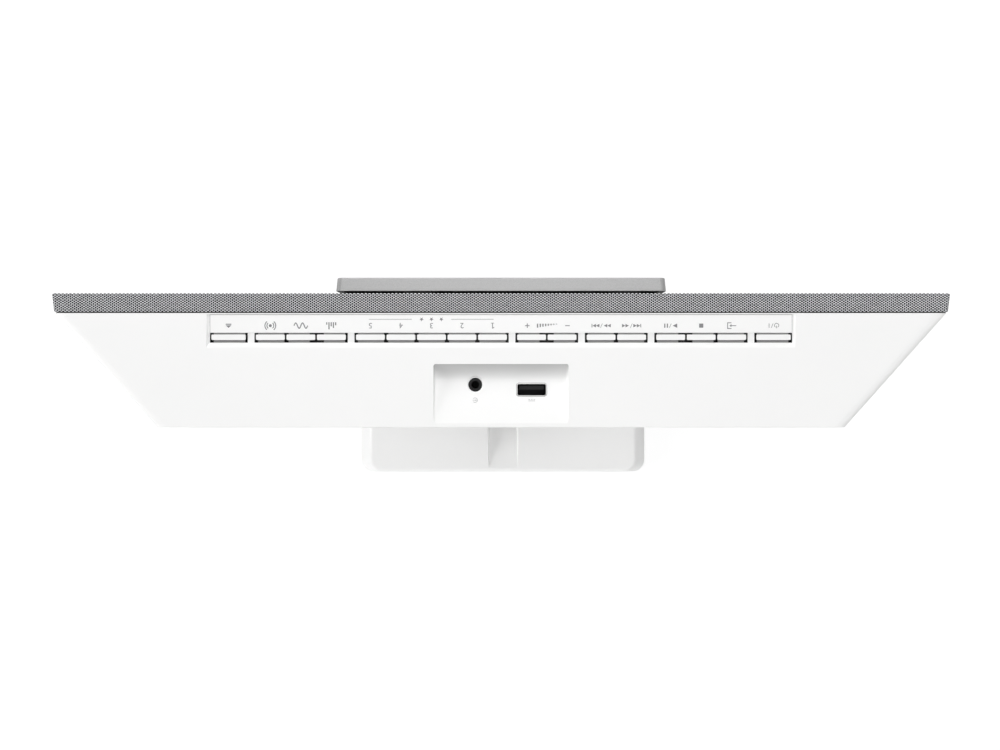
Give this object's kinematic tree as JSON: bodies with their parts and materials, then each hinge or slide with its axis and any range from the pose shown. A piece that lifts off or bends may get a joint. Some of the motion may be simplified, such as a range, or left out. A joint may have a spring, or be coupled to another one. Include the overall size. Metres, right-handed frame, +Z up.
{
  "type": "micro hi-fi system",
  "caption": "Slim stand-up stereo with a sliding disc door over a perforated grille, a top key row, top sockets, built-in speakers and a flat foot.",
  "frame": {"origin": "on the table, under the middle of the whole box", "axes": "+X to the right seen from the front, +Y to the rear, +Z up"},
  "size_m": [0.4, 0.107, 0.213],
  "materials": {
    "white_plastic": "fine matte white moulding",
    "key_plastic": "satin white moulding",
    "legend_film": "satin white film with grey symbols",
    "grille_metal": "silver painted perforated sheet",
    "silver_paint": "satin silver paint",
    "black_plastic": "matte black moulding",
    "tray_plastic": "dark grey moulding",
    "smoked_window": "polished smoked window",
    "steel": "plated steel",
    "motor_steel": "plated motor can",
    "socket_metal": "nickel plate",
    "gear_plastic": "natural acetal",
    "circuit_board": "green solder mask",
    "black_board": "black solder mask",
    "magnet_ferrite": "dark ferrite and steel",
    "cone_paper": "pressed paper cone",
    "soft_rubber": "matte black rubber",
    "lens_glass": "coated lens"
  },
  "bodies": {
    "cabinet": {"rear_cabinet": "white_plastic", "front_grille": "grille_metal", "front_baffle": "black_plastic", "legend_strip": "legend_film", "button_board": "black_board", "stand_foot": "white_plastic", "rubber_feet": "soft_rubber", "case_screws": "steel", "stand_screws": "steel", "door_rails": "steel", "door_motor": "motor_steel", "disc_tray": "tray_plastic", "drive_chassis": "steel", "drive_dampers": "soft_rubber", "spindle_motor": "motor_steel", "pickup_guide_rods": "steel", "sled_motor": "motor_steel", "main_board": "circuit_board", "power_board": "circuit_board", "display_window": "smoked_window", "display_module": "black_plastic", "usb_socket": "socket_metal", "aux_jack": "black_plastic", "mains_inlet": "black_plastic", "antenna_socket": "socket_metal", "left_speaker_basket": "steel", "left_speaker_magnet": "magnet_ferrite", "left_speaker_surround": "soft_rubber", "right_speaker_basket": "steel", "right_speaker_magnet": "magnet_ferrite", "right_speaker_surround": "soft_rubber"},
    "door": {"door_panel": "silver_paint", "door_liner": "black_plastic", "door_rack": "gear_plastic"},
    "door_gear": {"door_gear": "gear_plastic"},
    "door_motor_pinion": {"door_motor_pinion": "gear_plastic"},
    "turntable": {"turntable": "tray_plastic"},
    "pickup": {"optical_pickup": "tray_plastic", "pickup_lens": "lens_glass"},
    "sled_gear": {"sled_gear": "gear_plastic"},
    "sled_motor_pinion": {"sled_motor_pinion": "gear_plastic"},
    "left_cone": {"left_speaker_cone": "cone_paper"},
    "right_cone": {"right_speaker_cone": "cone_paper"},
    "button_eject": {"button_eject": "key_plastic"},
    "button_surround": {"button_surround": "key_plastic"},
    "button_bass": {"button_bass": "key_plastic"},
    "button_sound_field": {"button_sound_field": "key_plastic"},
    "button_favourite_5": {"button_favourite_5": "key_plastic"},
    "button_favourite_4": {"button_favourite_4": "key_plastic"},
    "button_favourite_3": {"button_favourite_3": "key_plastic"},
    "button_favourite_2": {"button_favourite_2": "key_plastic"},
    "button_favourite_1": {"button_favourite_1": "key_plastic"},
    "button_volume_up": {"button_volume_up": "key_plastic"},
    "button_volume_down": {"button_volume_down": "key_plastic"},
    "button_skip_forward": {"button_skip_forward": "key_plastic"},
    "button_skip_back": {"button_skip_back": "key_plastic"},
    "button_play_pause": {"button_play_pause": "key_plastic"},
    "button_stop": {"button_stop": "key_plastic"},
    "button_selector": {"button_selector": "key_plastic"},
    "button_power": {"button_power": "key_plastic"}
  },
  "joints": [
    {"name": "door_slide", "type": "slide", "parent": "cabinet", "child": "door", "axis": [1, 0, 0], "range_m": [0, 0.13625]},
    {"name": "door_gear_turn", "type": "hinge", "parent": "cabinet", "child": "door_gear", "pos_m": [0.04149, -0.0332, 0.1942], "axis": [0, 1, 0], "range_deg": [0, 1859]},
    {"name": "door_pinion_turn", "type": "hinge", "parent": "cabinet", "child": "door_motor_pinion", "pos_m": [0.0539, -0.0332, 0.18379], "axis": [0, 1, 0], "range_deg": [-5311, 0]},
    {"name": "turntable_spin", "type": "hinge", "parent": "cabinet", "child": "turntable", "pos_m": [0, -0.0357, 0.123], "axis": [0, 1, 0], "continuous": true},
    {"name": "pickup_slide", "type": "slide", "parent": "cabinet", "child": "pickup", "axis": [-1, 0, 0], "range_m": [0, 0.035]},
    {"name": "sled_gear_turn", "type": "hinge", "parent": "cabinet", "child": "sled_gear", "pos_m": [-0.029, -0.0277, 0.0932], "axis": [0, 1, 0], "range_deg": [-478, 0]},
    {"name": "sled_pinion_turn", "type": "hinge", "parent": "cabinet", "child": "sled_motor_pinion", "pos_m": [-0.01659, -0.0192, 0.08279], "axis": [0, 1, 0], "range_deg": [0, 1365]},
    {"name": "left_cone_stroke", "type": "slide", "parent": "cabinet", "child": "left_cone", "axis": [0, 1, 0], "range_m": [-0.0015, 0.0015], "stiffness_N_per_m": 2000, "deforming": ["left_speaker_surround"]},
    {"name": "right_cone_stroke", "type": "slide", "parent": "cabinet", "child": "right_cone", "axis": [0, 1, 0], "range_m": [-0.0015, 0.0015], "stiffness_N_per_m": 2000, "deforming": ["right_speaker_surround"]},
    {"name": "press_eject", "type": "slide", "parent": "cabinet", "child": "button_eject", "axis": [0, 0, -1], "range_m": [0, 0.0004], "stiffness_N_per_m": 800},
    {"name": "press_surround", "type": "slide", "parent": "cabinet", "child": "button_surround", "axis": [0, 0, -1], "range_m": [0, 0.0004], "stiffness_N_per_m": 800},
    {"name": "press_bass", "type": "slide", "parent": "cabinet", "child": "button_bass", "axis": [0, 0, -1], "range_m": [0, 0.0004], "stiffness_N_per_m": 800},
    {"name": "press_sound_field", "type": "slide", "parent": "cabinet", "child": "button_sound_field", "axis": [0, 0, -1], "range_m": [0, 0.0004], "stiffness_N_per_m": 800},
    {"name": "press_favourite_5", "type": "slide", "parent": "cabinet", "child": "button_favourite_5", "axis": [0, 0, -1], "range_m": [0, 0.0004], "stiffness_N_per_m": 800},
    {"name": "press_favourite_4", "type": "slide", "parent": "cabinet", "child": "button_favourite_4", "axis": [0, 0, -1], "range_m": [0, 0.0004], "stiffness_N_per_m": 800},
    {"name": "press_favourite_3", "type": "slide", "parent": "cabinet", "child": "button_favourite_3", "axis": [0, 0, -1], "range_m": [0, 0.0004], "stiffness_N_per_m": 800},
    {"name": "press_favourite_2", "type": "slide", "parent": "cabinet", "child": "button_favourite_2", "axis": [0, 0, -1], "range_m": [0, 0.0004], "stiffness_N_per_m": 800},
    {"name": "press_favourite_1", "type": "slide", "parent": "cabinet", "child": "button_favourite_1", "axis": [0, 0, -1], "range_m": [0, 0.0004], "stiffness_N_per_m": 800},
    {"name": "press_volume_up", "type": "slide", "parent": "cabinet", "child": "button_volume_up", "axis": [0, 0, -1], "range_m": [0, 0.0004], "stiffness_N_per_m": 800},
    {"name": "press_volume_down", "type": "slide", "parent": "cabinet", "child": "button_volume_down", "axis": [0, 0, -1], "range_m": [0, 0.0004], "stiffness_N_per_m": 800},
    {"name": "press_skip_forward", "type": "slide", "parent": "cabinet", "child": "button_skip_forward", "axis": [0, 0, -1], "range_m": [0, 0.0004], "stiffness_N_per_m": 800},
    {"name": "press_skip_back", "type": "slide", "parent": "cabinet", "child": "button_skip_back", "axis": [0, 0, -1], "range_m": [0, 0.0004], "stiffness_N_per_m": 800},
    {"name": "press_play_pause", "type": "slide", "parent": "cabinet", "child": "button_play_pause", "axis": [0, 0, -1], "range_m": [0, 0.0004], "stiffness_N_per_m": 800},
    {"name": "press_stop", "type": "slide", "parent": "cabinet", "child": "button_stop", "axis": [0, 0, -1], "range_m": [0, 0.0004], "stiffness_N_per_m": 800},
    {"name": "press_selector", "type": "slide", "parent": "cabinet", "child": "button_selector", "axis": [0, 0, -1], "range_m": [0, 0.0004], "stiffness_N_per_m": 800},
    {"name": "press_power", "type": "slide", "parent": "cabinet", "child": "button_power", "axis": [0, 0, -1], "range_m": [0, 0.0004], "stiffness_N_per_m": 800}
  ],
  "couplings": [
    {"joint": "door_gear_turn", "follows": "door_slide", "rad_per_m": 238.1},
    {"joint": "door_pinion_turn", "follows": "door_slide", "rad_per_m": -680.27},
    {"joint": "sled_gear_turn", "follows": "pickup_slide", "rad_per_m": -238.1},
    {"joint": "sled_pinion_turn", "follows": "pickup_slide", "rad_per_m": 680.27}
  ]
}
